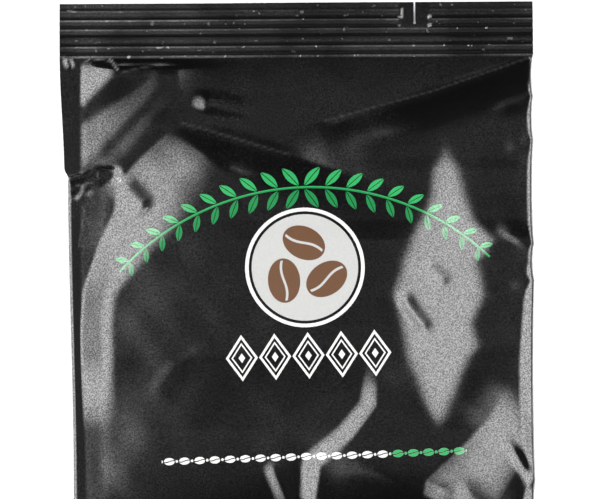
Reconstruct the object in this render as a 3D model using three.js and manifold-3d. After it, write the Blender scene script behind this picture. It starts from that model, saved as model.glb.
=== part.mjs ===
// Sealed sachet for one filter portion of ground coffee, lying on its back.
// One web of printed film is folded along the right-hand edge, sealed flat down the left-hand
// edge, and crimped shut across both ends. The filled pouch is modelled as one closed solid.
// Millimetres, +X across the front, +Y towards the end with the tear slit, +Z out of the front.

import * as THREE from "three";
import { mergeVertices } from "three/addons/utils/BufferGeometryUtils.js";
import Module from "manifold-3d";

const wasm = await Module();
wasm.setup();

// Overall size and film
const POUCH_WIDTH = 120;
const POUCH_HEIGHT = 146;
const SEALED_FILM = 0.3;

// Heights above and below the seam: the empty film around the fill, the fill itself and the back
const SHELF_RISE = 1.3;
const LEFT_FILL_RISE = 3.4;
const RIGHT_FILL_RISE = 3.2;
const MIDDLE_FILL_RISE = 0.6;
const BACK_CROWN = 5.2;

// Crimped end seals
const END_SEAL_HEIGHT = 13.5;
const RIB_PITCH = 2.33;
const RIB_COUNT = 5;
const RIB_DEPTH = 0.45;
const RIB_MARGIN = 0.5;
const RIB_END_RAMP = 0.5;
const SEAL_DROOP = 1.1;
const SEAL_WAVE = 0.45;
const SEAL_WAVE_LENGTH = 78;

// Tear slit and the smooth patch around it
const SLIT_X = 30;
const SLIT_LENGTH = 5.3;
const SLIT_WIDTH = 0.4;
const SLIT_END_RADIUS = 0.35;
const PATCH_HALF_WIDTH = 3.5;
const PATCH_HEIGHT = 6;

// Side seal on the left, folded edge on the right
const SIDE_SEAL_WIDTH = 4.9;
const LEFT_PULL_IN = 2.9;
const EDGE_WAVE = 0.5;
const EDGE_NOSE_WIDTH = 0.6;
const EDGE_SLOPE = 0.3;
const BACK_RIM_WIDTH = 1.2;
const BACK_RIM_HEIGHT = 1.3;

// Reach of the film's slopes, measured in from each edge
const SHELF_SIDE_REACH = 36;
const SHELF_END_REACH = 16;
const FILL_BLEND_REACH = 80;
const MIDDLE_FILL_REACH = 48;
const LOWER_TAPER = 30;
const BACK_SLOPE = 26;

// The long facet right of the middle falls towards the folded edge, as rise over run
const FACET_SLOPE = 0.26;
const FACET_SOFTNESS = 1.0;
const FACET_BALANCE = 0.45;
const STEP_SOFTNESS = 0.6;

// Grid of the modelled surface
const BODY_COLUMNS = 51;
const BODY_ROWS = 46;
const SEAL_COLUMNS = 10;

const halfWidth = POUCH_WIDTH / 2;
const halfHeight = POUCH_HEIGHT / 2;
const bodyHalf = halfHeight - END_SEAL_HEIGHT;
const skin = SEALED_FILM / 2;

// Places below are shares of the half width and of the half height between the seals, so they
// follow a larger pouch. Every other number is in millimetres.

// Foot of the fill on the left, from the upper end down: the film climbs from it over a reach
// that is measured square to the slope, and the climb ends softly.
const FILL_FOOT = [
  { at: 0.72, x: -0.5, lean: 0.72, reach: 11, soft: 4.5 },
  { at: 0.6, x: -0.63, lean: 0.72, reach: 11, soft: 4.5 },
  { at: 0.475, x: -0.75, lean: 0.78, reach: 11.5, soft: 4.7 },
  { at: 0.34, x: -0.775, lean: 0.85, reach: 12, soft: 5 },
  { at: 0.19, x: -0.84, lean: 0.9, reach: 10, soft: 4 },
  { at: 0, x: -0.905, lean: 1, reach: 8, soft: 2 },
  { at: -0.88, x: -0.91, lean: 1, reach: 8, soft: 2 },
];

// Towards the lower end the climb slackens to a long gentle slope
const SLACK = { from: -0.3, to: -0.63, reach: 60, soft: 8 };

// Two hollows where the empty upper corner folds down to the fill
const LEFT_HOLLOW = {
  from: [-0.5, 0.72], to: [0.02, 0.555], tip: 3, reach: 8, soft: 0.55, widening: 16,
};
const RIGHT_HOLLOW = {
  from: [0.09, 0.717], to: [0.985, 0.99], tip: 8.5, reach: 8.5, soft: 0.59, widening: 1,
};
const HOLLOW_JOIN = { x: -0.145, reach: 30 };

// Left and right edge of the long facet, from its upper tip to its lower one
const FACET = [
  { at: 0.64, left: 0.623, right: 0.624 },
  { at: 0.56, left: 0.604, right: 0.646 },
  { at: 0.51, left: 0.574, right: 0.675 },
  { at: 0.4, left: 0.56, right: 0.7 },
  { at: 0.3, left: 0.518, right: 0.737 },
  { at: 0.21, left: 0.475, right: 0.83 },
  { at: 0.12, left: 0.445, right: 0.753 },
  { at: -0.015, left: 0.402, right: 0.782 },
  { at: -0.15, left: 0.43, right: 0.73 },
  { at: -0.24, left: 0.45, right: 0.759 },
  { at: -0.37, left: 0.494, right: 0.676 },
  { at: -0.48, left: 0.538, right: 0.627 },
  { at: -0.59, left: 0.58, right: 0.592 },
  { at: -0.66, left: 0.588, right: 0.588 },
];

// Width of the sloping strip of film beside the folded edge
const EDGE_STRIP = [
  { at: 0.975, width: 1.1 },
  { at: 0.21, width: 1.1 },
  { at: 0.115, width: 0.8 },
  { at: -0.01, width: 3.0 },
  { at: -0.47, width: 3.2 },
  { at: -0.83, width: 2.4 },
];

// Folds run through their points. A negative rise is a valley. Reach is how far the fold fades
// to the left and to the right of its run, ends the share of its run that fades at each end.
const FRONT_FOLDS = [
  { run: [[-0.76, 0.91], [-0.57, 0.95]], rise: -0.3, reach: [3, 4], ends: [0.5, 0.5] },
  { run: [[-0.37, 0.86], [-0.39, 0.75]], rise: 1, reach: [15, 4.6], ends: [0.55, 0.35] },
  { run: [[-0.86, 0.475], [-0.71, 0.51]], rise: -0.7, reach: [3, 3.2], ends: [0.45, 0.45] },
  { run: [[-0.77, 0.48], [-0.69, 0.41], [-0.62, 0.33]], rise: 0.6, reach: [1.3, 4.5],
    ends: [0.6, 0.1] },
  { run: [[-0.44, 0.7], [-0.26, 0.65], [0.01, 0.56]], rise: 0.4, reach: [2.6, 1.5],
    ends: [0.3, 0.3] },
  { run: [[0.11, 0.72], [0.56, 0.84], [0.99, 0.99]], rise: 0.4, reach: [0.9, 1.6],
    ends: [0.06, 0.3] },
  { run: [[0.08, 0.71], [0.56, 0.84], [0.99, 0.99]], rise: -0.7, reach: [1, 9],
    ends: [0.15, 0.3] },
  { run: [[0.345, -0.29], [0.335, -0.49], [0.22, -0.63], [0.09, -0.75], [0.07, -0.94]],
    rise: 1.5, reach: [16, 5.4], ends: [0.25, 0.05] },
  { run: [[0.89, -0.38], [0.8, -0.55], [0.65, -0.69], [0.53, -0.8], [0.48, -0.96]],
    rise: 3.4, reach: [14, 20], ends: [0.35, 0.1] },
  { run: [[0.84, -0.6], [1.02, -0.86]], rise: -0.5, reach: [2, 2.4], ends: [0.5, 0.1] },
  { run: [[0.62, -0.83], [0.72, -0.97]], rise: 0.6, reach: [3, 3], ends: [0.3, 0.1] },
  { run: [[-0.12, -0.71], [-0.03, -0.94]], rise: 0.55, reach: [6, 3], ends: [0.25, 0.25] },
  { run: [[-0.64, -0.51], [-0.52, -0.3], [-0.3, -0.17]], rise: 0.2, reach: [6, 9],
    ends: [0.25, 0.25] },
  { run: [[0.8, 0.74], [1.02, 0.82]], rise: -0.45, reach: [2.6, 4], ends: [0.9, 0.02] },
  { run: [[0.84, 0.53], [1.02, 0.63]], rise: -0.45, reach: [3.4, 2.6], ends: [0.9, 0.02] },
  { run: [[0.81, 0.31], [1.02, 0.18]], rise: -0.5, reach: [4, 2.6], ends: [0.9, 0.02] },
  { run: [[0.42, 0], [0.48, -0.09], [0.56, -0.19]], rise: -0.5, reach: [3, 2.2],
    ends: [0.25, 0.25] },
  { run: [[0.53, 0.12], [0.63, 0.02]], rise: -0.3, reach: [3, 3], ends: [0.25, 0.25] },
];

// Facets that climb to the right in the upper left corner, each above the one before it, as
// rise over run between two lines. The steps die out over a reach to the right of them.
const CORNER_STEPS = [
  {
    slope: 0.24,
    lines: [
      { at: 0.99, left: -0.896, right: -0.846 },
      { at: 0.945, left: -0.914, right: -0.779 },
      { at: 0.91, left: -0.915, right: -0.775 },
      { at: 0.77, left: -0.92, right: -0.92 },
    ],
  },
  {
    slope: 0.12,
    lines: [
      { at: 0.985, left: -0.576, right: -0.576 },
      { at: 0.89, left: -0.62, right: -0.56 },
      { at: 0.76, left: -0.82, right: -0.67 },
      { at: 0.7, left: -0.915, right: -0.74 },
      { at: 0.51, left: -0.92, right: -0.92 },
    ],
  },
  {
    slope: 0.07,
    lines: [
      { at: 0.95, left: -0.517, right: -0.517 },
      { at: 0.855, left: -0.534, right: -0.505 },
      { at: 0.785, left: -0.61, right: -0.535 },
      { at: 0.545, left: -0.83, right: -0.76 },
      { at: 0.49, left: -0.83, right: -0.8 },
    ],
  },
];
const STEPS_END = { x: -0.66, reach: 28 };

const BACK_FOLDS = [
  { run: [[-0.9, 0.9], [-0.45, 0.62]], rise: -1.2, reach: [6, 6], ends: [0.25, 0.25] },
  { run: [[0.9, 0.92], [0.5, 0.66]], rise: -1.2, reach: [6, 6], ends: [0.25, 0.25] },
  { run: [[-0.9, -0.9], [-0.5, -0.62]], rise: -1.2, reach: [6, 6], ends: [0.25, 0.25] },
  { run: [[0.9, -0.92], [0.45, -0.64]], rise: -1.2, reach: [6, 6], ends: [0.25, 0.25] },
];

// Shares of the half height at which the folded edge is pinched flat, and where the side seal is
const RIGHT_PINCHES = [1, 0.82, 0.636, 0.193, 0.04, -0.82, -1];
const LEFT_PINCH = { at: 0.48, depth: 0.35, reach: 3 };

const clamp01 = (t) => Math.min(1, Math.max(0, t));

function smooth(t) {
  const c = clamp01(t);
  return c * c * (3 - 2 * c);
}

// Rounded shoulder: rises from 0 at the edge to 1 at the given reach and stays there.
function shoulder(distance, reach) {
  const left = 1 - clamp01(distance / reach);
  return 1 - left * left;
}

// Climbs with slope 1 over the reach, is rounded off softly and stays level.
function ramp(distance, reach, soft) {
  const t = clamp01((distance - reach + soft) / (2 * soft));
  const straight = Math.min(Math.max(distance, 0), reach - soft);
  return straight + 2 * soft * (t - (t * t) / 2);
}

// Climbs with slope 1 from the start to the stop with soft ends, and is level on both sides.
function bank(x, start, stop, soft) {
  const bend = (t) => soft * (Math.log1p(Math.exp(-Math.abs(t))) + Math.max(t, 0));
  return bend((x - start) / soft) - bend((x - stop) / soft);
}

// Value of one column of a table at a share of the half height, on straight lines between rows.
function between(table, share, column) {
  const next = table.findIndex((row) => row.at <= share);
  if (next === 0) {
    return table[0][column];
  }
  if (next < 0) {
    return table.at(-1)[column];
  }
  const high = table[next - 1];
  const low = table[next];
  const t = (share - low.at) / (high.at - low.at);
  return low[column] + t * (high[column] - low[column]);
}

function place(point) {
  return [point[0] * halfWidth, point[1] * bodyHalf];
}

// Depth below a hollow's upper line, as a share of the height that it climbs back to.
function hollowShare(hollow, x, y) {
  const [ax, ay] = place(hollow.from);
  const [bx, by] = place(hollow.to);
  const side = ((y - ay) * (bx - ax) - (x - ax) * (by - ay)) / Math.hypot(bx - ax, by - ay);
  const wide = smooth((x - ax) / hollow.widening);
  const reach = hollow.tip + (hollow.reach - hollow.tip) * wide;
  return ramp(-side / reach, 1, hollow.soft);
}

// The filled pouch draws its side seal inwards, most of it below the pinch.
function leftEdge(y) {
  const down = (bodyHalf - y) / bodyHalf;
  const pull = 0.345 * smooth(down / 0.5) + 0.31 * smooth((down - 0.47) / 0.05)
    + 0.345 * smooth((down - 0.57) / 1.18);
  const away = Math.abs(y - LEFT_PINCH.at * bodyHalf) / LEFT_PINCH.reach;
  return -halfWidth + LEFT_PULL_IN * pull + LEFT_PINCH.depth * (1 - clamp01(away)) ** 2;
}

function sideSealEdge(y) {
  return -halfWidth + SIDE_SEAL_WIDTH + smooth(-0.17 * 1.3 - (1.3 * y) / bodyHalf);
}

// 0 where the folded edge is pinched flat, 1 halfway between two pinches.
function freeEdge(y) {
  const share = y / bodyHalf;
  for (let i = 1; i < RIGHT_PINCHES.length; i += 1) {
    const high = RIGHT_PINCHES[i - 1];
    const low = RIGHT_PINCHES[i];
    if (share < high && share > low) {
      return Math.sqrt(Math.sin((Math.PI * (high - share)) / (high - low)));
    }
  }
  return 0;
}

function rightEdge(y) {
  return halfWidth - EDGE_WAVE * freeEdge(y);
}

// Height that one fold adds at a point: a crest or valley whose flanks and ends fade out.
function foldHeight(fold, x, y) {
  const run = fold.run.map(place);
  const [firstX, firstY] = run[0];
  const runX = run.at(-1)[0] - firstX;
  const runY = run.at(-1)[1] - firstY;
  const along = ((x - firstX) * runX + (y - firstY) * runY) / (runX * runX + runY * runY);
  let nearest = Infinity;
  let across = 0;
  for (let i = 1; i < run.length; i += 1) {
    const [ax, ay] = run[i - 1];
    const dx = run[i][0] - ax;
    const dy = run[i][1] - ay;
    const share = clamp01(((x - ax) * dx + (y - ay) * dy) / (dx * dx + dy * dy));
    const gap = Math.hypot(x - ax - share * dx, y - ay - share * dy);
    if (gap < nearest) {
      nearest = gap;
      across = (y - ay) * dx - (x - ax) * dy;
    }
  }
  const t = 1 - clamp01(nearest / (across > 0 ? fold.reach[0] : fold.reach[1]));
  const flank = (smooth(t) + t ** 1.2) / 2;
  return fold.rise * flank * smooth(along / fold.ends[0]) * smooth((1 - along) / fold.ends[1]);
}

function sumFolds(folds, x, y) {
  return folds.reduce((sum, fold) => sum + foldHeight(fold, x, y), 0);
}

// Distances from a point to the inner edge of the side seal, the folded edge and the end seals.
function edgeDistances(x, y) {
  return {
    left: x - sideSealEdge(y),
    right: rightEdge(y) - x,
    end: bodyHalf - Math.abs(y),
  };
}

// How far the film has climbed from its foot on the left to the top of the fill, 0 to 1.
function leftClimb(x, y, left) {
  const share = y / bodyHalf;
  const reach = between(FILL_FOOT, share, "reach");
  const foot = between(FILL_FOOT, share, "x") * halfWidth;
  const run = (x - foot) * between(FILL_FOOT, share, "lean");
  const taut = ramp(run, reach, between(FILL_FOOT, share, "soft")) / reach;
  const slack = ramp(left, SLACK.reach, SLACK.soft) / SLACK.reach;
  const mix = clamp01((SLACK.from - share) / (SLACK.from - SLACK.to));
  return taut * (1 - mix) + slack * mix;
}

// Climb across the facets of the upper left corner.
function cornerClimb(x, y) {
  const share = y / bodyHalf;
  const climb = CORNER_STEPS.reduce((sum, step) => {
    const start = between(step.lines, share, "left") * halfWidth;
    const stop = between(step.lines, share, "right") * halfWidth;
    return sum + step.slope * bank(x, start, stop, STEP_SOFTNESS);
  }, 0);
  return climb * (1 - smooth((x - STEPS_END.x * halfWidth) / STEPS_END.reach));
}

// Height of the fill's top, which sinks across the long facet on the right.
function fillTop(x, y, left, right) {
  const share = y / bodyHalf;
  const start = between(FACET, share, "left") * halfWidth;
  const stop = between(FACET, share, "right") * halfWidth;
  const run = FACET_BALANCE * (stop - start) - bank(x, start, stop, FACET_SOFTNESS);
  const rightPart = RIGHT_FILL_RISE + MIDDLE_FILL_RISE * clamp01(right / MIDDLE_FILL_REACH)
    + FACET_SLOPE * run;
  const across = smooth(left / FILL_BLEND_REACH);
  return LEFT_FILL_RISE * (1 - across) + rightPart * across;
}

// Height of the front film above the seam plane.
function frontHeight(x, y) {
  const { left, right, end } = edgeDistances(x, y);
  if (left <= 0 || end <= 0) {
    return skin;
  }
  const shelf = SHELF_RISE * shoulder(left, SHELF_SIDE_REACH) * shoulder(end, SHELF_END_REACH);
  const climb = leftClimb(x, y, left);
  const beside = smooth((x - HOLLOW_JOIN.x * halfWidth) / HOLLOW_JOIN.reach);
  const upper = hollowShare(LEFT_HOLLOW, x, y) * (1 - beside)
    + hollowShare(RIGHT_HOLLOW, x, y) * beside;
  const lower = shoulder(bodyHalf + y + 1, LOWER_TAPER);
  const fill = climb * upper * lower * fillTop(x, y, left, right);
  const free = freeEdge(y);
  const strip = (0.3 + 0.7 * free) * between(EDGE_STRIP, y / bodyHalf, "width");
  const drop = EDGE_SLOPE * strip * (1 - clamp01((right - 0.5 * EDGE_NOSE_WIDTH) / strip));
  const round = 1 - clamp01(right / EDGE_NOSE_WIDTH);
  const nose = Math.sqrt(1 - round * round);
  const folds = sumFolds(FRONT_FOLDS, x, y) + (1 - climb) * cornerClimb(x, y);
  const height = (shelf + fill - drop) * nose + folds * smooth(Math.min(2 * left, end) / 3.5);
  return Math.max(skin, skin + height);
}

// Depth of the back film below the seam plane, before it meets the table.
function backDepth(x, y) {
  const { left, right, end } = edgeDistances(x, y);
  if (left <= 0 || end <= 0) {
    return skin;
  }
  const sides = shoulder(left, BACK_SLOPE) * shoulder(right, BACK_SLOPE);
  const crown = 2 * BACK_CROWN * sides * shoulder(end, BACK_SLOPE);
  const inside = smooth(Math.min(left, end, right) / 4);
  const round = 1 - clamp01(right / BACK_RIM_WIDTH);
  const rim = BACK_RIM_HEIGHT * Math.sqrt(1 - round * round) * freeEdge(y)
    * smooth(left / 9) * smooth(end / 9);
  return Math.max(skin, skin + rim + crown + sumFolds(BACK_FOLDS, x, y) * inside);
}

// Height of the seam plane above the table: the end seals droop and wave a little.
function seamHeight(x, y) {
  const past = Math.abs(y) - bodyHalf;
  const near = smooth(1 + past / BACK_SLOPE);
  const droop = SEAL_DROOP * clamp01(past / END_SEAL_HEIGHT) ** 1.5;
  const wave = SEAL_WAVE * Math.sin((2 * Math.PI * x) / SEAL_WAVE_LENGTH + Math.sign(y));
  return BACK_CROWN - droop + wave * near;
}

// Ribs are left out of the smooth patch around the slit, which is at the upper end only.
function ribShare(x, y) {
  const beside = clamp01((Math.abs(x - SLIT_X) - PATCH_HALF_WIDTH) / RIB_END_RAMP);
  const below = clamp01((halfHeight - PATCH_HEIGHT - y) / RIB_END_RAMP);
  return Math.max(beside, below);
}

// Rows of one end seal, from its inner edge outwards: four lines trace each rib.
function sealRows() {
  const rows = [{ out: RIB_MARGIN, rise: 0 }];
  for (let rib = 0; rib < RIB_COUNT; rib += 1) {
    const start = RIB_MARGIN + rib * RIB_PITCH;
    rows.push({ out: start + 0.12 * RIB_PITCH, rise: 0.5 * RIB_DEPTH });
    rows.push({ out: start + 0.48 * RIB_PITCH, rise: 0.5 * RIB_DEPTH });
    rows.push({ out: start + 0.62 * RIB_PITCH, rise: -0.5 * RIB_DEPTH });
    rows.push({ out: start + 0.94 * RIB_PITCH, rise: -0.5 * RIB_DEPTH });
  }
  rows.push({ out: END_SEAL_HEIGHT, rise: 0 });
  return rows;
}

function sealColumns(y) {
  const left = leftEdge(y);
  const right = rightEdge(y);
  const columns = [];
  for (let i = 0; i <= SEAL_COLUMNS; i += 1) {
    columns.push(left + ((right - left) * i) / SEAL_COLUMNS);
  }
  if (y < 0) {
    return columns;
  }
  const patchSide = PATCH_HALF_WIDTH + RIB_END_RAMP;
  const clear = columns.filter((x) => Math.abs(x - SLIT_X) > patchSide + RIB_END_RAMP);
  for (const side of [-1, 1]) {
    clear.push(SLIT_X + side * PATCH_HALF_WIDTH, SLIT_X + side * patchSide);
  }
  return clear.sort((a, b) => a - b);
}

// Columns of the filled part: the side seal, the panel, then the nose of the folded edge.
function bodyColumns(y) {
  const start = sideSealEdge(y);
  const stop = rightEdge(y) - 2 * EDGE_NOSE_WIDTH;
  const columns = [leftEdge(y)];
  for (let i = 0; i <= BODY_COLUMNS; i += 1) {
    const t = i / BODY_COLUMNS;
    const eased = 0.75 * t + 0.125 * (1 - Math.cos(Math.PI * t));
    columns.push(start + (stop - start) * eased);
  }
  for (const share of [1, 0.4, 0.1, 0]) {
    columns.push(rightEdge(y) - EDGE_NOSE_WIDTH * share);
  }
  return columns;
}

const positions = [];
const triangles = [];

function addVertex(x, y, z) {
  positions.push(x, y, z);
  return positions.length / 3 - 1;
}

// Two lines of vertices across the pouch: the front film, and the back film on every nth column.
function addRow(columns, y, rise, backStep) {
  const front = columns.map((x) => {
    const lift = rise * ribShare(x, y);
    return addVertex(x, y, seamHeight(x, y) + frontHeight(x, y) + lift);
  });
  const last = columns.length - 1;
  const kept = columns.filter((x, i) => i === last || i % backStep === 0);
  const back = kept.map((x) => {
    const lift = rise * ribShare(x, y);
    return addVertex(x, y, Math.max(0, seamHeight(x, y) - backDepth(x, y) + lift));
  });
  return { front, back };
}

function addTriangle(a, b, c, turned) {
  triangles.push(a, turned ? c : b, turned ? b : c);
}

// Joins two lines of vertices that may have different counts, always along the nearer step.
function zip(lower, upper, turned) {
  let i = 0;
  let j = 0;
  while (i < lower.length - 1 || j < upper.length - 1) {
    const lowerNext = i < lower.length - 1 ? positions[3 * lower[i + 1]] : Infinity;
    const upperNext = j < upper.length - 1 ? positions[3 * upper[j + 1]] : Infinity;
    if (lowerNext <= upperNext) {
      addTriangle(lower[i], lower[i + 1], upper[j], turned);
      i += 1;
    } else {
      addTriangle(lower[i], upper[j + 1], upper[j], turned);
      j += 1;
    }
  }
}

// The cut edge of the film between a line on the front and the line below it on the back.
function wall(front, back, turned) {
  for (let i = 0; i < front.length - 1; i += 1) {
    addTriangle(back[i], back[i + 1], front[i + 1], turned);
    addTriangle(back[i], front[i + 1], front[i], turned);
  }
}

function makePouchGeometry() {
  const rows = [];
  for (const row of sealRows().reverse()) {
    const y = -bodyHalf - row.out;
    rows.push(addRow(sealColumns(y), y, row.rise, 1));
  }
  for (let j = 0; j <= BODY_ROWS; j += 1) {
    const y = bodyHalf * ((2 * j) / BODY_ROWS - 1);
    rows.push(addRow(bodyColumns(y), y, 0, 2));
  }
  for (const row of sealRows()) {
    const y = bodyHalf + row.out;
    rows.push(addRow(sealColumns(y), y, row.rise, 1));
  }
  for (let j = 0; j < rows.length - 1; j += 1) {
    zip(rows[j].front, rows[j + 1].front, false);
    zip(rows[j].back, rows[j + 1].back, true);
  }
  const last = rows[rows.length - 1];
  wall(rows[0].front, rows[0].back, false);
  wall(last.front, last.back, true);
  wall(rows.map((row) => row.front[0]), rows.map((row) => row.back[0]), true);
  wall(rows.map((row) => row.front.at(-1)), rows.map((row) => row.back.at(-1)), false);
  const geometry = new THREE.BufferGeometry();
  geometry.setAttribute("position", new THREE.Float32BufferAttribute(positions, 3));
  geometry.setIndex(triangles);
  return geometry;
}

// Cutter for the tear slit: a narrow slot from the upper edge that ends in a small round hole.
function makeSlitCutter() {
  const top = halfHeight + 1;
  const bottom = halfHeight - SLIT_LENGTH;
  const half = SLIT_WIDTH / 2;
  const lean = Math.asin(half / SLIT_END_RADIUS);
  const outline = new THREE.Shape();
  outline.moveTo(half, top);
  outline.lineTo(-half, top);
  outline.absarc(0, bottom, SLIT_END_RADIUS, Math.PI / 2 + lean, 2.5 * Math.PI - lean, false);
  outline.closePath();
  const cutter = new THREE.ExtrudeGeometry(outline, {
    depth: 2 * BACK_CROWN,
    bevelEnabled: false,
    curveSegments: 10,
  });
  cutter.translate(SLIT_X, 0, 0);
  return cutter;
}

function toSolid(geometry) {
  const bare = geometry.clone();
  bare.deleteAttribute("normal");
  bare.deleteAttribute("uv");
  const merged = mergeVertices(bare);
  return new wasm.Manifold(new wasm.Mesh({
    numProp: 3,
    vertProperties: new Float32Array(merged.attributes.position.array),
    triVerts: new Uint32Array(merged.index.array),
  }));
}

function toGeometry(solid) {
  const mesh = solid.getMesh();
  const geometry = new THREE.BufferGeometry();
  geometry.setAttribute("position", new THREE.Float32BufferAttribute(mesh.vertProperties, 3));
  geometry.setIndex(new THREE.Uint32BufferAttribute(mesh.triVerts, 1));
  geometry.computeVertexNormals();
  return geometry;
}

// The footprint is centred on the origin, with the flattened back at z = 0.
function centreFootprint(geometry) {
  geometry.computeBoundingBox();
  const centre = geometry.boundingBox.getCenter(new THREE.Vector3());
  geometry.translate(-centre.x, -centre.y, 0);
  return geometry;
}

const film = new THREE.MeshStandardMaterial({ color: 0x1c1c1e, roughness: 0.38, metalness: 0.3 });
const pouchSolid = toSolid(makePouchGeometry()).subtract(toSolid(makeSlitCutter()));
const pouch = new THREE.Mesh(centreFootprint(toGeometry(pouchSolid)), film);
pouch.name = "sealed_pouch";

const model = new THREE.Group();
model.add(pouch);

export default model;
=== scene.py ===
"""Looks of a sealed coffee filter pack: black satin film, crimped ends, tear slit and print."""

import math

import bmesh
import bpy
import numpy as np
from bpy.props import FloatProperty, FloatVectorProperty, IntProperty, PointerProperty
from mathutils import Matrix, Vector


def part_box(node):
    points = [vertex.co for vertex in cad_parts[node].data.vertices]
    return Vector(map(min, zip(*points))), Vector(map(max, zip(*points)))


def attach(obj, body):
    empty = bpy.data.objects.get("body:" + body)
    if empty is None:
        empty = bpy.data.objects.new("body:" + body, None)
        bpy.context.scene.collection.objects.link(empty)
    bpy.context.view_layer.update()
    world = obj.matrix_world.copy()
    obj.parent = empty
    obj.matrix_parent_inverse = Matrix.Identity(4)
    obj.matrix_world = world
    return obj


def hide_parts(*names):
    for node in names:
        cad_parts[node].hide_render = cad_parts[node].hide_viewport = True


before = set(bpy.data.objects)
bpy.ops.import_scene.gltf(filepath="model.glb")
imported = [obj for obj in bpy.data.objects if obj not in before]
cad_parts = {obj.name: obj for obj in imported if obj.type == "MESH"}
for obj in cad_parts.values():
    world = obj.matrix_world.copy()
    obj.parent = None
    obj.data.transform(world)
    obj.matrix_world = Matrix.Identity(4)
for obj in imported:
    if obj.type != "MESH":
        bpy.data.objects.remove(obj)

bl_info = {
    "name": "Coffee filter pack",
    "version": (1, 0, 0),
    "blender": (4, 5, 0),
    "location": "3D View > Sidebar > Filter pack",
    "description": "Builds a sealed filter pack with its film, print and studio",
    "category": "Add Mesh",
}

NODE = "sealed_pouch"
BODY = "root"
MM = 0.001
CAD_LOW, CAD_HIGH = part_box(NODE)

# Photo frame: pixels per millimetre, and the pixel over the middle of the pouch
PHOTO_WIDTH_PX = 600
PHOTO_HEIGHT_PX = 499
PX_PER_MM = 3.946
MIDDLE_PX = (297.9, 290.5)
PHOTO_ROLL = math.radians(0.36)


def at(px, py):
    """Place on the pouch, in millimetres from its middle, of a pixel of the photo."""
    across, up = (px - MIDDLE_PX[0]) / PX_PER_MM, (MIDDLE_PX[1] - py) / PX_PER_MM
    c, s = math.cos(PHOTO_ROLL), math.sin(PHOTO_ROLL)
    return across * c + up * s, up * c - across * s


def level(row, column=0):
    """y of a row of the photo, where it crosses a column."""
    return at(column, row)[1]


def from_column(x, column):
    """Distance to the right of a column of the photo."""
    return x - at(column, 0)[0]


def clamp01(t):
    return np.clip(t, 0.0, 1.0)


def smooth(t):
    t = clamp01(t)
    return t * t * (3 - 2 * t)


def shoulder(distance, reach):
    """Rises from 0 at an edge to 1 at the given reach, with a round top."""
    left = 1 - clamp01(distance / reach)
    return 1 - left * left


def ramp(distance, reach, round_off):
    """Climbs with slope 1 from 0 to the reach, where it is rounded off and stays level."""
    t = clamp01((distance - (reach - round_off)) / (2 * round_off))
    straight = np.minimum(np.maximum(distance, 0), reach - round_off)
    return straight + 2 * round_off * (t - t * t / 2)


def softplus(t):
    return np.logaddexp(0, t)


def bank(x, start, stop, soft):
    """Climbs with slope 1 from start to stop, with soft ends, and is level on both sides."""
    return soft * (softplus((x - start) / soft) - softplus((x - stop) / soft))


def through(y, *pixels):
    """The x of a line that runs through the given photo pixels, at each height y."""
    xs, ys = zip(*sorted((at(px, py) for px, py in pixels), key=lambda p: p[1]))
    return np.interp(y, ys, xs)


def below(y, full_row, none_row):
    """1 below one row of the photo and 0 above the other, with a straight line between."""
    return np.interp(y, [level(full_row, SIDE_COLUMN), level(none_row, SIDE_COLUMN)], [1, 0])


def side_of(x, y, start_px, end_px):
    """Distance to the left of a line between two photo pixels."""
    ax, ay = at(*start_px)
    bx, by = at(*end_px)
    length = math.hypot(bx - ax, by - ay)
    return ((y - ay) * (bx - ax) - (x - ax) * (by - ay)) / length


def across_line(x, y, points):
    """Distance from a line through photo pixels, positive to the left of the way it runs."""
    places = [at(*point) for point in points]
    nearest = np.full_like(x, np.inf)
    across = np.zeros_like(x)
    for (ax, ay), (bx, by) in zip(places, places[1:]):
        dx, dy = bx - ax, by - ay
        length = math.hypot(dx, dy)
        share = clamp01(((x - ax) * dx + (y - ay) * dy) / length ** 2)
        gap = np.hypot(x - ax - share * dx, y - ay - share * dy)
        side = np.sign((y - ay) * dx - (x - ax) * dy)
        closer = gap < nearest
        across = np.where(closer, side * gap, across)
        nearest = np.minimum(gap, nearest)
    return across


# How sharp a crease is at its crest
CREASE_CURVE = 1.2


def crease(x, y, points, rise, left, right, ends=(0.25, 0.25), widen=(0, 0)):
    """A crease of the film through photo pixels, rising in millimetres, or a valley if negative.

    left and right are how far it fades to each side of the way it runs, and widen is how much
    further they fade at its last end. In the shares ends of its length it fades in and out."""
    (first_x, first_y), (last_x, last_y) = at(*points[0]), at(*points[-1])
    run_x, run_y = last_x - first_x, last_y - first_y
    along = ((x - first_x) * run_x + (y - first_y) * run_y) / (run_x ** 2 + run_y ** 2)
    across = across_line(x, y, points)
    wider_left, wider_right = (side * smooth(along) for side in widen)
    out = clamp01(np.abs(across) / np.where(across > 0, left + wider_left, right + wider_right))
    flank = 0.5 * (smooth(1 - out) + (1 - out) ** CREASE_CURVE)
    return rise * flank * smooth(along / ends[0]) * smooth((1 - along) / ends[1])


# Facets that climb to the right in the upper left corner, each above the one before it: where
# the climb starts and stops, as photo pixels, and its slope.
CORNER_STEPS = (
    dict(start=((84, 54), (80, 66), (79, 108)), stop=((96, 54), (112, 68), (113, 76), (79, 108)),
         slope=0.24),
    dict(start=((160, 58), (150, 80), (80, 126), (79, 170)),
         stop=((160, 58), (164, 84), (137, 112), (79, 170)), slope=0.1),
    dict(start=((174, 66), (170, 88), (152, 106), (100, 162)),
         stop=((174, 66), (177, 90), (170, 106), (106, 176)), slope=0.07),
)

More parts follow.
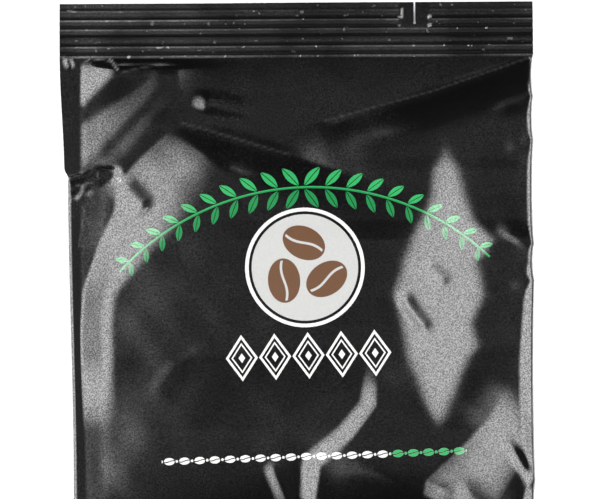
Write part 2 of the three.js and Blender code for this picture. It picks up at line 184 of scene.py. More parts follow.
FRONT_CREASES = (
    # Upper left corner: a small hollow, a turned-up facet and the pinch beside the side seal
    dict(points=((118, 78), (162, 68)), rise=-0.3, left=3, right=4, ends=(0.5, 0.5)),
    dict(points=((210, 88), (205, 115)), rise=1.0, left=15, right=4.6, ends=(0.55, 0.35)),
    dict(points=((94, 176), (124, 173)), rise=-1.1, left=2.8, right=3.4, ends=(0.4, 0.5)),
    dict(points=((114, 176), (134, 196), (150, 213)), rise=0.55, left=4, right=4.5,
         ends=(0.4, 0.25)),
    # Edges of the two hollows
    dict(points=((192, 127), (236, 139), (300, 160)), rise=0.4, left=2.6, right=1.5,
         ends=(0.3, 0.3)),
    dict(points=((322, 122), (430, 92), (530, 57)), rise=0.4, left=0.9, right=1.6,
         ends=(0.06, 0.3)),
    dict(points=((316, 124), (430, 92), (530, 57)), rise=-0.7, left=1.0, right=9,
         ends=(0.15, 0.3)),
    # Lower folds
    dict(points=((384, 336), (377, 406), (352, 438), (320, 466), (315, 512)), rise=1.3,
         left=34, right=5, ends=(0.38, 0.05)),
    dict(points=((510, 378), (488, 418), (452, 452), (424, 478), (418, 514), (412, 548)),
         rise=2.9, left=12, right=20, ends=(0.375, 0.28), widen=(8, 23)),
    dict(points=((498, 430), (541, 490)), rise=-0.5, left=2, right=2.4, ends=(0.5, 0.1)),
    dict(points=((446, 484), (470, 516)), rise=0.3, left=4, right=4, ends=(0.4, 0.1)),
    dict(points=((270, 458), (292, 512)), rise=0.55, left=6, right=3),
    dict(points=((148, 400), (176, 366), (218, 340)), rise=0.1, left=3, right=6),
    # Folds that run into the pinches of the right edge
    dict(points=((484, 112), (534, 99)), rise=-0.4, left=2.2, right=4, ends=(0.5, 0.4)),
    dict(points=((500, 152), (534, 143)), rise=-0.22, left=4, right=3, ends=(0.5, 0.4)),
    dict(points=((492, 226), (534, 245)), rise=-0.45, left=4, right=2.2, ends=(0.5, 0.4)),
    dict(points=((508, 286), (534, 283)), rise=-0.12, left=3, right=3, ends=(0.5, 0.4)),
    dict(points=((398, 290), (412, 312), (430, 334)), rise=-0.5, left=3, right=2.2),
    dict(points=((424, 262), (448, 286)), rise=-0.3, left=3, right=3),
)

# Painted highlight lines on the sharpest folds: photo pixels, strength, half width in millimetres
FOLD_HIGHLIGHTS = (
    (((84, 63), (91, 58), (112, 61)), 0.35, 0.32),
    (((110, 59), (118, 70)), 0.6, 0.34),
    (((122, 73), (142, 68), (160, 65)), 0.1, 0.32),
    (((181, 123), (240, 140), (290, 155)), 0.07, 0.36),
    (((325, 121), (430, 92), (528, 58)), 0.07, 0.34),
    (((117, 178), (121, 181)), 1.0, 0.36),
    (((144, 211), (148, 208)), 0.9, 0.36),
    (((64, 57), (71, 60), (72, 68)), 0.5, 0.34),
    (((67, 11), (76, 12)), 0.7, 0.3),
    (((402, 9), (402, 17)), 0.9, 0.36),
    (((76, 186), (94, 182)), 0.16, 0.36),
    (((77, 200), (84, 192), (96, 204)), 0.12, 0.34),
    (((84, 210), (79, 246)), 0.12, 0.34),
    (((79, 247), (120, 237)), 0.07, 0.34),
)

BACK_CREASES = tuple(
    dict(points=line, rise=-1.2, left=6, right=6)
    for line in (((85, 79), (191, 145)), ((511, 74), (416, 136)), ((85, 502), (179, 436)),
                 ((511, 506), (404, 441))))

SEAL_CREASES = (
    dict(points=((66, 55), (73, 71)), rise=0.45, left=1.4, right=1.8, ends=(0.4, 0.4)),
    dict(points=((62, 181), (98, 172)), rise=0.5, left=1.2, right=2.2, ends=(0.1, 0.3)),
    dict(points=((62, 198), (98, 190)), rise=-0.4, left=1.4, right=1.4, ends=(0.2, 0.3)),
    dict(points=((76, 202), (92, 180)), rise=0.2, left=1.2, right=1.6),
)


def undulation(x, y, waves=16, shortest=8.0, longest=26.0, steepness=0.005, seed=11):
    """Faint uneven swell of soft film, as a sum of plane waves."""
    pick = np.random.default_rng(seed)
    total = np.zeros_like(x)
    for length in np.geomspace(shortest, longest, waves):
        angle, phase = pick.uniform(0, 2 * math.pi, 2)
        run = (x * math.cos(angle) + y * math.sin(angle)) * 2 * math.pi / length
        total = total + steepness * length / (2 * math.pi) * np.sin(run + phase)
    return total


def fold_highlight_share(x, y):
    """Painted highlight along the sharpest folds, from 0 to 1."""
    total = np.zeros_like(x)
    for points, strength, half_width in FOLD_HIGHLIGHTS:
        gap = np.abs(across_line(x, y, points))
        total = np.maximum(total, strength * clamp01(1 - gap / half_width))
    return clamp01(total)


def length_property(name, description, default):
    return FloatProperty(name=name, description=description, default=default, unit="LENGTH")


class PackSizes(bpy.types.PropertyGroup):
    """Sizes of the pouch that a user would change."""
    end_seal: length_property("End seal", "Height of each crimped end seal", 0.0135)
    rib_pitch: length_property("Rib pitch", "Distance from one crimp rib to the next", 0.00226)
    rib_depth: length_property("Rib depth", "Depth of the grooves between the crimp ribs", 0.00045)
    rib_count: IntProperty(
        name="Ribs", description="Crimp ribs in each end seal", default=5, min=1)
    film: length_property(
        "Sealed film", "Thickness of the film where it is sealed together", 0.0003)
    slit_x: length_property("Slit place", "Place of the tear slit across the pouch", 0.03)
    slit_length: length_property(
        "Slit length", "Depth of the tear slit from the upper edge", 0.0053)
    columns: IntProperty(
        name="Columns", description="Grid steps across the pouch", default=236, min=40)
    rows: IntProperty(
        name="Rows", description="Grid steps along the filled part", default=216, min=40)


def colour_property(name, description, default):
    return FloatVectorProperty(name=name, description=description, default=default,
                               subtype="COLOR", size=3, min=0.0, max=1.0)


class PackColours(bpy.types.PropertyGroup):
    """Colours of the film and of its print."""
    film: colour_property("Film", "Black of the film", (0.003, 0.003, 0.0032))
    # Next: the pale colour painted as highlights on rib crests and folds, as sheen on the crimp
    # flats, and as glint specks
    painted_highlight: colour_property("Painted highlight", "Pale colour of the painted highlights, sheen and glints", (0.42, 0.42, 0.42))
    white: colour_property("White ink", "Ring, lozenges and beads", (0.70, 0.70, 0.68))
    grey: colour_property("Grey ink", "Disc behind the beans", (0.46, 0.46, 0.45))
    brown: colour_property("Brown ink", "Beans on the disc", (0.125, 0.062, 0.033))
    leaf: colour_property("Leaf green", "Outer leaves of the garland", (0.03, 0.33, 0.10))
    deep: colour_property("Deep green", "Inner leaves of the garland", (0.014, 0.20, 0.058))


# Landmarks as rows and columns of the photo
SIDE_COLUMN = 100
SIDE_PINCH_ROW = 178
EDGE_COLUMN = 535
EDGE_PINCH_ROWS = (100, 143, 247, 283, 485)
CORNER_COLUMN = 140
HOLLOW_JOIN_COLUMN = 225
CURL_ROW = 176

# Lines through photo pixels: the lower edges of the two hollows, the foot of the fill, and the
# two sides of the long facet on the right
LEFT_HOLLOW = ((178, 122), (302, 160))
RIGHT_HOLLOW = ((318, 122), (530, 57))
FILL_FOOT = ((178, 122), (150, 148), (120, 180), (114, 212), (99, 246), (84, 290), (81, 330),
             (84, 499))
FACET_LEFT = ((444, 140), (440, 158), (433, 170), (430, 195), (420, 220), (410, 240), (403, 262),
              (393, 292), (400, 325), (407, 355), (415, 375), (425, 400), (436, 428), (438, 445))
FACET_RIGHT = ((445, 140), (450, 158), (457, 170), (463, 195), (472, 220), (494, 240), (476, 262),
               (483, 295), (471, 325), (478, 345), (468, 358), (458, 378), (447, 402), (439, 428),
               (438, 445))

# Side seal, in millimetres: where the edge is drawn in, as depth, start below the upper seal and
# length; the notch at the pinch; and its inner edge, which drifts inwards further down
EDGE_DRAWS = ((1.0, 0, 30), (0.9, 28, 3), (1.0, 34, 70))
NOTCH_DEPTH = 0.35
NOTCH_REACH = 1.6
SEAM_X = -55.1
SEAM_DRIFT = 1.0
SEAM_DRIFT_FROM = -10
SEAM_DRIFT_LENGTH = 45

# Folded edge, in millimetres: how far it stands back between two pinches, the round nose, the
# film that slopes down to it with its width by photo row, and how far a pinch flattens the film
SCALLOP_DEPTH = 0.5
NOSE_REACH = 0.6
STRIP_ROWS = (485, 400, 292, 262, 240, 60)
STRIP_WIDTHS = (2.4, 3.2, 3.0, 0.8, 1.1, 1.1)
STRIP_SHARE_AT_PINCH = 0.3
STRIP_SLOPE = 0.3
STRIP_START = 0.3
PINCH_FLATTENS = 0.08
PINCH_REACH = 4

# Front film at rest on the filter, in millimetres
SHELF_HEIGHT = 1.3
SHELF_SIDE_REACH = 36
SHELF_END_REACH = 16
SWELL_FADE = 6
FOLD_FADE = 3.5

# The climb from the foot of the fill, by photo row: how it leans, how far it reaches and how far
# it is rounded off
CLIMB_ROWS = (300, 250, 212, 180, 150)
CLIMB_LEANS = (1, 0.9, 0.85, 0.78, 0.72)
CLIMB_REACHES = (6.8, 10, 14, 15.5, 15)
CLIMB_ROUND_OFFS = (2, 4, 5, 4.7, 4.5)
# Lower down the film sinks a little behind the climb, and then climbs slowly all the way
SINK_ROWS = (310, 250)
SINK_SHARE = 0.16
SINK_FROM = 8
SINK_REACH = 60
SLACK_ROWS = (430, 356)
SLACK_REACH = 62
SLACK_ROUND_OFF = 18
SLACK_CURVE = 1.4
LOWER_TAPER = 30
LOWER_TAPER_START = 1

# Hollows below the upper seal: how far the film takes to come up from them
LEFT_HOLLOW_NEAR = 3
LEFT_HOLLOW_WIDER = 5
LEFT_HOLLOW_WIDENS_OVER = 21
LEFT_HOLLOW_ROUND_OFF = 0.55
RIGHT_HOLLOW_REACH = 8.5
RIGHT_HOLLOW_ROUND_OFF = 5
HOLLOW_JOIN_LENGTH = 52

# Height of the fill, and the long facet that falls to the right and turns about its own middle
FILL_LEFT = 3.4
FILL_RIGHT = 3.2
FILL_CROWN = 0.6
FILL_CROWN_REACH = 48
FILL_CROSSING = 80
FACET_SLOPE = 0.26
FACET_PIVOT = 0.45
FACET_ROUND_OFF = 1.0
STEP_ROUND_OFF = 0.6
CORNER_REACH = 28

# Back film. Its crown would reach twice as far down as the table, which flattens it.
BACK_CROWN = 2
BACK_REACH = 26
BACK_RIM_DEPTH = 1.3
BACK_RIM_WIDTH = 1.2
BACK_RIM_FADE = 9
BACK_FOLD_FADE = 4

# The seam plane: droop and wave of the end seals, and the curl of the side seal's edge
SEAL_DROOP = 1.1
SEAL_DROOP_CURVE = 1.5
SEAL_WAVE = 0.45
SEAL_WAVE_LENGTH = 78
SEAL_WAVE_REACH = 26
BEND_FADE = 4
CURL_DEPTH = 0.25
CURL_WIDTH = 0.6
CURL_START_LENGTH = 3
CURL_END_FADE = 6


class Shape:
    """The film's form, in millimetres from the middle of the pouch."""

    seam_level = 5.2

    def __init__(self, sizes):
        self.half_width = 0.5 * (CAD_HIGH[0] - CAD_LOW[0]) / MM
        self.half_height = 0.5 * (CAD_HIGH[1] - CAD_LOW[1]) / MM
        self.seal = sizes.end_seal / MM
        self.body_half = self.half_height - self.seal
        self.skin = 0.5 * sizes.film / MM

    def left_edge(self, y):
        down = self.body_half - y
        from_pinch = np.abs(y - level(SIDE_PINCH_ROW))
        notch = NOTCH_DEPTH * (1 - clamp01(from_pinch / NOTCH_REACH)) ** 2
        drawn = sum(depth * smooth((down - start) / length) for depth, start, length in EDGE_DRAWS)
        return -self.half_width + drawn + notch

    def right_edge(self, y):
        return self.half_width - SCALLOP_DEPTH * self.scallop(y)

    def seam_line(self, y):
        """Inner edge of the side seal."""
        return SEAM_X + SEAM_DRIFT * smooth((SEAM_DRIFT_FROM - y) / SEAM_DRIFT_LENGTH)

    def scallop(self, y):
        """0 where the folded edge is pinched flat, 1 halfway between two pinches."""
        pinches = [self.body_half] + [level(row) for row in EDGE_PINCH_ROWS] + [-self.body_half]
        out = np.zeros_like(y)
        for high, low in zip(pinches, pinches[1:]):
            t = clamp01((high - y) / (high - low))
            out = out + np.sqrt(np.sin(math.pi * t))
        return clamp01(out)

    def distances(self, x, y):
        """Distances from the side seal, from the folded edge and from the nearer end seal."""
        return x - self.seam_line(y), self.right_edge(y) - x, self.body_half - np.abs(y)

    def front(self, x, y):
        """Height of the front film above the seam."""
        left, right, end = self.distances(x, y)
        nose = np.sqrt(1 - (1 - clamp01(right / NOSE_REACH)) ** 2)
        flattened = PINCH_FLATTENS * (1 - self.scallop(y)) * (1 - smooth(right / PINCH_REACH))
        shelf = SHELF_HEIGHT * shoulder(left, SHELF_SIDE_REACH) * shoulder(end, SHELF_END_REACH)
        climb = self.climb(x, y, left)
        taper = shoulder(self.body_half + y + LOWER_TAPER_START, LOWER_TAPER)
        fill = climb * self.hollows(x, y) * taper * self.fill_height(x, y, left, right)
        swell = undulation(x, y) * smooth(np.minimum(np.minimum(left, end), right) / SWELL_FADE)
        height = shelf + fill - self.edge_drop(y, right) + swell
        folds = sum(crease(x, y, **one) for one in FRONT_CREASES)
        folds = folds + (1 - climb) * self.corner_steps(x, y)
        folds = folds * smooth(np.minimum(2 * left, end) / FOLD_FADE)
        height = self.skin + height * nose * (1 - flattened) + folds
        return np.where((left <= 0) | (end <= 0), self.skin, np.maximum(height, self.skin))

    def edge_drop(self, y, right):
        """How far the film slopes down to the folded edge, less far where it is pinched."""
        heights = [level(row, EDGE_COLUMN) for row in STRIP_ROWS]
        share = STRIP_SHARE_AT_PINCH + (1 - STRIP_SHARE_AT_PINCH) * self.scallop(y)
        width = share * np.interp(y, heights, STRIP_WIDTHS)
        return STRIP_SLOPE * width * (1 - clamp01((right - STRIP_START) / width))

    def climb(self, x, y, left):
        """Share of the fill's height that the film has reached, counted from the left."""
        foot = through(y, *FILL_FOOT)
        heights = [level(row, SIDE_COLUMN) for row in CLIMB_ROWS]
        lean = np.interp(y, heights, CLIMB_LEANS)
        reach = np.interp(y, heights, CLIMB_REACHES)
        climb = ramp((x - foot) * lean, reach, np.interp(y, heights, CLIMB_ROUND_OFFS)) / reach
        sunk = SINK_SHARE * below(y, *SINK_ROWS)
        climb = climb * (1 - sunk * (1 - smooth((left - SINK_FROM) / SINK_REACH)))
        slack = below(y, *SLACK_ROWS)
        slow = (ramp(left, SLACK_REACH, SLACK_ROUND_OFF) / SLACK_REACH) ** SLACK_CURVE
        return climb * (1 - slack) + slow * slack

    def hollows(self, x, y):
        """0 in the two hollows below the upper seal, 1 on the fill."""
        widened = smooth(from_column(x, LEFT_HOLLOW[0][0]) / LEFT_HOLLOW_WIDENS_OVER)
        left_reach = LEFT_HOLLOW_NEAR + LEFT_HOLLOW_WIDER * widened
        left_hollow = ramp(-side_of(x, y, *LEFT_HOLLOW) / left_reach, 1, LEFT_HOLLOW_ROUND_OFF)
        right_hollow = ramp(-side_of(x, y, *RIGHT_HOLLOW), RIGHT_HOLLOW_REACH,
                            RIGHT_HOLLOW_ROUND_OFF) / RIGHT_HOLLOW_REACH
        beside = smooth(from_column(x, HOLLOW_JOIN_COLUMN) / HOLLOW_JOIN_LENGTH)
        return left_hollow * (1 - beside) + right_hollow * beside

    def fill_height(self, x, y, left, right):
        """Height of the filled film over the shelf, with the long facet on the right."""
        facet_left, facet_right = through(y, *FACET_LEFT), through(y, *FACET_RIGHT)
        width = np.maximum(facet_right - facet_left, 0)
        fallen = bank(x, facet_left, facet_right, FACET_ROUND_OFF)
        facet = FACET_SLOPE * (FACET_PIVOT * width - fallen)
        crown = FILL_RIGHT + FILL_CROWN * clamp01(right / FILL_CROWN_REACH)
        across = smooth(left / FILL_CROSSING)
        return FILL_LEFT * (1 - across) + (crown + facet) * across

    def corner_steps(self, x, y):
        """The facets of the upper left corner, which fade out to its right."""
        steps = sum(
            one["slope"] * bank(x, through(y, *one["start"]), through(y, *one["stop"]),
                                STEP_ROUND_OFF)
            for one in CORNER_STEPS)
        return steps * (1 - smooth(from_column(x, CORNER_COLUMN) / CORNER_REACH))

    def back(self, x, y):
        """Depth of the back film below the seam, before it meets the table."""
        left, right, end = self.distances(x, y)
        crown = BACK_CROWN * self.seam_level * shoulder(left, BACK_REACH)
        crown = crown * shoulder(right, BACK_REACH) * shoulder(end, BACK_REACH)
        rim = BACK_RIM_DEPTH * np.sqrt(1 - (1 - clamp01(right / BACK_RIM_WIDTH)) ** 2)
        rim = rim * smooth(end / BACK_RIM_FADE) * smooth(left / BACK_RIM_FADE) * self.scallop(y)
        folds = sum(crease(x, y, **one) for one in BACK_CREASES)
        folds = folds * smooth(np.minimum(np.minimum(left, end), right) / BACK_FOLD_FADE)
        depth = self.skin + crown + rim + folds
        return np.where((left <= 0) | (end <= 0), self.skin, np.maximum(depth, self.skin))

    def seam(self, x, y):
        """Height of the seam plane above the table."""
        past = np.abs(y) - self.body_half
        droop = SEAL_DROOP * clamp01(past / self.seal) ** SEAL_DROOP_CURVE
        wave = SEAL_WAVE * np.sin(2 * math.pi * x / SEAL_WAVE_LENGTH + np.sign(y))
        wave = wave * smooth(1 + past / SEAL_WAVE_REACH)
        bent = sum(crease(x, y, **one) for one in SEAL_CREASES)
        bent = bent * (1 - smooth((x - self.seam_line(y)) / BEND_FADE))
        curl = CURL_DEPTH * smooth(1 - (x - self.left_edge(y)) / CURL_WIDTH)
        curl = curl * smooth((level(CURL_ROW) - y) / CURL_START_LENGTH)
        curl = curl * smooth(-past / CURL_END_FADE)
        return self.seam_level - droop + wave + bent - curl


def column_places(shape, sizes, y):
    """x of each grid column on one row: side seal, panel, then the nose of the folded edge."""
    left, seam, right = shape.left_edge(y), shape.seam_line(y), shape.right_edge(y)
    strip_steps, rim_steps = 9, 10
    rim, crowding = 2.6, 1.8
    panel_steps = sizes.columns - strip_steps - rim_steps
    strip = left + (seam - left) * np.linspace(0, 1, strip_steps + 1)[:-1]
    panel = seam + (right - rim - seam) * np.linspace(0, 1, panel_steps + 1)[:-1]
    nose = right - rim * (1 - np.linspace(0, 1, rim_steps + 1)) ** crowding
    return np.concatenate([strip, panel, nose])


def row_places(shape, sizes):
    """y of each grid row: fine steps over the ribs of both end seals."""
    seal_steps = 40
    low = np.linspace(-shape.half_height, -shape.body_half, seal_steps + 1)[:-1]
    body = np.linspace(-shape.body_half, shape.body_half, sizes.rows + 1)
    return np.concatenate([low, body, -low[::-1]])


def zip_strip(lower, upper, lower_x, upper_x, turned):
    """Faces between two lines of vertices that may have different counts."""
    faces, i, j = [], 0, 0
    while i < len(lower) - 1 or j < len(upper) - 1:
        next_lower = lower_x[i + 1] if i < len(lower) - 1 else math.inf
        next_upper = upper_x[j + 1] if j < len(upper) - 1 else math.inf
        if next_lower <= next_upper:
            face = (lower[i], lower[i + 1], upper[j])
            i += 1
        else:
            face = (lower[i], upper[j + 1], upper[j])
            j += 1
        faces.append(face[::-1] if turned else face)
    return faces


def grid_faces(first, rows, columns, turned):
    """Faces of a grid of vertices, and the index of each vertex."""
    index = first + np.arange(rows * columns).reshape(rows, columns)
    a, b = index[:-1, :-1].ravel(), index[:-1, 1:].ravel()
    c, d = index[1:, 1:].ravel(), index[1:, :-1].ravel()
    faces = np.stack([a, d, c, b] if turned else [a, b, c, d], axis=1)
    return faces.tolist(), index


def make_film(name, shape, sizes):
    """The whole pouch as one closed mesh; the back film has half the grid of the front."""
    ys = row_places(shape, sizes)
    xs = np.array([column_places(shape, sizes, np.array(y)) for y in ys])
    yy = np.repeat(ys[:, None], xs.shape[1], axis=1)
    seam = shape.seam(xs, yy)
    front = np.stack([xs, yy, seam + shape.front(xs, yy)], axis=-1)
    pick_rows = np.unique(np.append(np.arange(0, len(ys), 2), len(ys) - 1))
    pick_columns = np.unique(np.append(np.arange(0, xs.shape[1], 2), xs.shape[1] - 1))
    bx, by = xs[np.ix_(pick_rows, pick_columns)], yy[np.ix_(pick_rows, pick_columns)]
    bz = np.maximum(0, shape.seam(bx, by) - shape.back(bx, by))
    back = np.stack([bx, by, bz], axis=-1)
    faces, fi = grid_faces(0, *xs.shape, turned=False)
    more, bi = grid_faces(xs.size, *bx.shape, turned=True)
    faces += more
    faces += zip_strip(bi[0], fi[0], bx[0], xs[0], turned=False)
    faces += zip_strip(bi[-1], fi[-1], bx[-1], xs[-1], turned=True)
    faces += zip_strip(bi[:, 0], fi[:, 0], ys[pick_rows], ys, turned=True)
    faces += zip_strip(bi[:, -1], fi[:, -1], ys[pick_rows], ys, turned=False)
    points = np.concatenate([front.reshape(-1, 3), back.reshape(-1, 3)]) * MM
    mesh = bpy.data.meshes.new(name)
    mesh.from_pydata(points.tolist(), [], faces)
    mesh.validate()
    # Shares stored for the colour: the front side for the print, and the painted highlight lines
    # along the sharpest folds
    for title, values in (("front_side", np.ones_like(xs)), ("fold_highlight", fold_highlight_share(xs, yy))):
        share = mesh.attributes.new(title, "FLOAT", "POINT")
        share.data.foreach_set("value", np.append(values.ravel(), np.zeros(bx.size)))
    mesh.update()
    film = bpy.data.objects.new(name, mesh)
    bpy.context.collection.objects.link(film)
    return film


# The tear slit, and how far its cutter stands over the upper edge
SLIT_HALF_WIDTH = 0.2 * MM
SLIT_END_RADIUS = 0.35 * MM
SLIT_END_STEPS = 13
SLIT_OVERSHOOT = 1 * MM


def slit_cutter(shape, sizes):
    """A narrow slot from the upper edge that ends in a small round hole, as a closed prism."""
    half, radius = SLIT_HALF_WIDTH, SLIT_END_RADIUS
    top = shape.half_height * MM + SLIT_OVERSHOOT
    low = shape.half_height * MM - sizes.slit_length
    lean = math.asin(half / radius)
    turn = np.linspace(math.pi / 2 + lean, 2.5 * math.pi - lean, SLIT_END_STEPS)
    outline = [(half, top), (-half, top)]
    outline += [(radius * math.cos(a), low + radius * math.sin(a)) for a in turn]
    mesh = bpy.data.meshes.new("slit_cutter")
    tool = bmesh.new()
    floor = [tool.verts.new((sizes.slit_x + x, y, 0)) for x, y in outline]
    face = tool.faces.new(floor)
    raised = bmesh.ops.extrude_face_region(tool, geom=[face])["geom"]
    tops = [one for one in raised if isinstance(one, bmesh.types.BMVert)]
    bmesh.ops.translate(tool, verts=tops, vec=(0, 0, 2 * shape.seam_level * MM))
    bmesh.ops.recalc_face_normals(tool, faces=tool.faces)
    tool.to_mesh(mesh)
    tool.free()
    cutter = bpy.data.objects.new("slit_cutter", mesh)
    bpy.context.collection.objects.link(cutter)
    return cutter


def apply_modifiers(film):
    """Keeps the mesh that the film's modifiers make, in place of the modifiers."""
    graph = bpy.context.evaluated_depsgraph_get()
    made = bpy.data.meshes.new_from_object(film.evaluated_get(graph), depsgraph=graph)
    film.modifiers.clear()
    film.data = made


def cut_slit(film, shape, sizes):
    cutter = slit_cutter(shape, sizes)
    modifier = film.modifiers.new("Slit", "BOOLEAN")
    modifier.operation = "DIFFERENCE"
    modifier.solver = "EXACT"
    modifier.object = cutter
    apply_modifiers(film)
    bpy.data.objects.remove(cutter)


def feed(tree, node, values):
    """Gives inputs of a node, by name or number, fixed values or links from what makes them."""
    for key, value in dict(values).items():
        if isinstance(value, Term):
            value = value.socket
        if isinstance(value, bpy.types.NodeSocket):
            tree.links.new(value, node.inputs[key])
        else:
            node.inputs[key].default_value = value


def add_node(tree, kind, values=(), **settings):
    node = tree.nodes.new(kind)
    for name, setting in settings.items():
        setattr(node, name, setting)
    feed(tree, node, values)
    return node


def math_method(operation, swapped=False):
    """A method of Term that adds one math node."""
    def method(self, *others):
        values = (*others, self) if swapped else (self, *others)
        node = add_node(self.tree, "ShaderNodeMath", enumerate(values), operation=operation)
        return Term(self.tree, node.outputs[0])
    return method


class Term:
    """A number in a node tree. Arithmetic with it adds math nodes."""

    def __init__(self, tree, socket):
        self.tree = tree
        self.socket = socket

    __add__ = math_method("ADD")
    __sub__ = math_method("SUBTRACT")
    __rsub__ = math_method("SUBTRACT", swapped=True)
    __mul__ = math_method("MULTIPLY")
    __truediv__ = math_method("DIVIDE")
    abs = math_method("ABSOLUTE")
    sqrt = math_method("SQRT")
    sin = math_method("SINE")
    fract = math_method("FRACT")
    angle_from = math_method("ARCTAN2")
    lower_of = math_method("MINIMUM")
    higher_of = math_method("MAXIMUM")
    is_over = math_method("GREATER_THAN")
    is_under = math_method("LESS_THAN")

    def over(self, low, high, to_low=0.0, to_high=1.0):
        """Goes smoothly from one value at low to another at high."""
        values = {"Value": self, "From Min": low, "From Max": high, "To Min": to_low,
                  "To Max": to_high}
        node = add_node(self.tree, "ShaderNodeMapRange", values, interpolation_type="SMOOTHSTEP")
        return Term(self.tree, node.outputs["Result"])

    def under(self, edge, soft=0.06):
        """1 where the number is under the edge, 0 over it, with a soft line between."""
        return (self - edge).over(-soft, soft, 1.0, 0.0)


def outputs_of(tree, node):
    """The outputs of a node by name, each number as a Term."""
    return {one.name: Term(tree, one) if one.type == "VALUE" else one
            for one in node.outputs if one.name}


def split_place(tree, vector):
    given = outputs_of(tree, add_node(tree, "ShaderNodeSeparateXYZ", {0: vector}))
    return given["X"], given["Y"]


# Group inputs and outputs that aren't numbers
SOCKET_TYPES = {"Place": "NodeSocketVector", "Colour": "NodeSocketColor",
                "Geometry": "NodeSocketGeometry", "Film": "NodeSocketMaterial"}


def new_group(name, inputs, outputs, kind="ShaderNodeTree"):
    """A node group, with its inputs by name and its output node."""
    tree = bpy.data.node_groups.new(name, kind)
    for in_out, titles in (("INPUT", inputs), ("OUTPUT", outputs)):
        for title in titles:
            tree.interface.new_socket(
                title, in_out=in_out, socket_type=SOCKET_TYPES.get(title, "NodeSocketFloat"))
    given = outputs_of(tree, tree.nodes.new("NodeGroupInput"))
    return tree, given, tree.nodes.new("NodeGroupOutput")


def place_group(tree, group, **values):
    """A node that holds a group. An underscore in the name of an input stands for a space."""
    values = {title.replace("_", " "): value for title, value in values.items()}
    return outputs_of(tree, add_node(tree, "ShaderNodeGroup", values, node_tree=group))


# One pitch of the crimp, as shares of it: where the groove falls and rises again, the painted
# highlight line on the crest, and how far that goes on before the first rib and after the last one
GROOVE_FALL = (0.02, 0.2)
GROOVE_RISE = (0.38, 0.5)
CREST_LINE = 0.09
CREST_BEFORE = 0.1
CREST_AFTER = 0.9
# Share of painted sheen on the flats between the grooves
FLAT_SHEEN = 0.12
# The smooth patch around the tear slit, and how far the ribs stand off the inner edge of the seal
PATCH_HALF_WIDTH = 3.5 * MM
PATCH_HEIGHT = 6 * MM
PATCH_SOFT_EDGE = 0.6 * MM
RIB_SETBACK = 0.05 * MM


def rib_tree():
    """Geometry nodes that press the crimp ribs into both end seals."""
    numbers = ("Inner edge", "Pitch", "Depth", "Count", "Slit place", "Patch half width",
               "Patch start")
    tree, given, out = new_group(
        "Crimp ribs", ("Geometry", *numbers, "Film"), ("Geometry",), "GeometryNodeTree")
    inner_edge, pitch, depth, count, slit_place, patch_half_width, patch_start = (
        given[title] for title in numbers)
    x, y = split_place(tree, tree.nodes.new("GeometryNodeInputPosition").outputs[0])
    turns = (y.abs() - inner_edge) / pitch
    groove = turns.fract().over(*GROOVE_FALL) - turns.fract().over(*GROOVE_RISE)
    inside = turns.is_over(0.0) * turns.is_under(count)
    beside_patch = ((x - slit_place).abs() - patch_half_width).over(0.0, PATCH_SOFT_EDGE)
    share = beside_patch.higher_of((patch_start - y).over(0.0, PATCH_SOFT_EDGE))
    sunk = groove * share * inside * depth
    offset = add_node(tree, "ShaderNodeCombineXYZ", {"Z": sunk * -1.0})
    move = add_node(tree, "GeometryNodeSetPosition", {
        "Geometry": given["Geometry"], "Offset": offset.outputs[0]})
    # Painted highlight: a pale line on each rib crest, and a fainter painted sheen on the flats
    # between the grooves
    line = ((turns + 0.5).fract() - 0.5).abs().over(0.0, CREST_LINE, 1.0, 0.0)
    flats = (1.0 - groove) * FLAT_SHEEN
    within = turns.is_over(-CREST_BEFORE) * turns.is_under(count + CREST_AFTER)
    store = add_node(tree, "GeometryNodeStoreNamedAttribute", {
        "Geometry": move.outputs[0], "Name": "rib_highlight",
        "Value": within * line.higher_of(flats) * share}, data_type="FLOAT", domain="POINT")
    dress = add_node(tree, "GeometryNodeSetMaterial", {
        "Geometry": store.outputs[0], "Material": given["Film"]})
    feed(tree, out, {"Geometry": dress.outputs[0]})
    return tree


def press_ribs(film, shape, sizes, material):
    tree = rib_tree()
    modifier = film.modifiers.new("Crimp ribs", "NODES")
    modifier.node_group = tree
    values = {
        "Inner edge": shape.body_half * MM + RIB_SETBACK,
        "Pitch": sizes.rib_pitch,
        "Depth": sizes.rib_depth,
        "Count": float(sizes.rib_count),
        "Slit place": sizes.slit_x,
        "Patch half width": PATCH_HALF_WIDTH,
        "Patch start": shape.half_height * MM - PATCH_HEIGHT,
        "Film": material,
    }
    for item in tree.interface.items_tree:
        if item.in_out == "INPUT" and item.name in values:
            modifier[item.identifier] = values[item.name]
    apply_modifiers(film)


def turned(x, y, angle):
    """Coordinates along and across a direction."""
    c, s = math.cos(angle), math.sin(angle)
    return x * c + y * s, y * c - x * s


def bean_group():
    """A coffee bean seen from above: its body and the curved groove along it."""
    tree, given, out = new_group(
        "Printed bean", ("Place", "Middle X", "Middle Y", "Cosine", "Sine", "Half length"),
        ("Body", "Groove"))
    x, y = split_place(tree, given["Place"])
    x, y = x - given["Middle X"], y - given["Middle Y"]
    cosine, sine, half = given["Cosine"], given["Sine"], given["Half length"]
    along = (x * cosine + y * sine) / half
    across = (y * cosine - x * sine) / half
    slimness, groove_turns, groove_sway, groove_half_width, groove_end = 1.9, 3.0, 0.1, 0.055, 0.9
    reach = (along * along + across * across * slimness).sqrt()
    bend = (along * groove_turns).sin() * groove_sway
    groove = (across - bend).abs().under(groove_half_width, soft=0.012)
    feed(tree, out, {"Body": reach.under(1.0, soft=0.012),
                     "Groove": groove * reach.under(groove_end, soft=0.02)})
    return tree


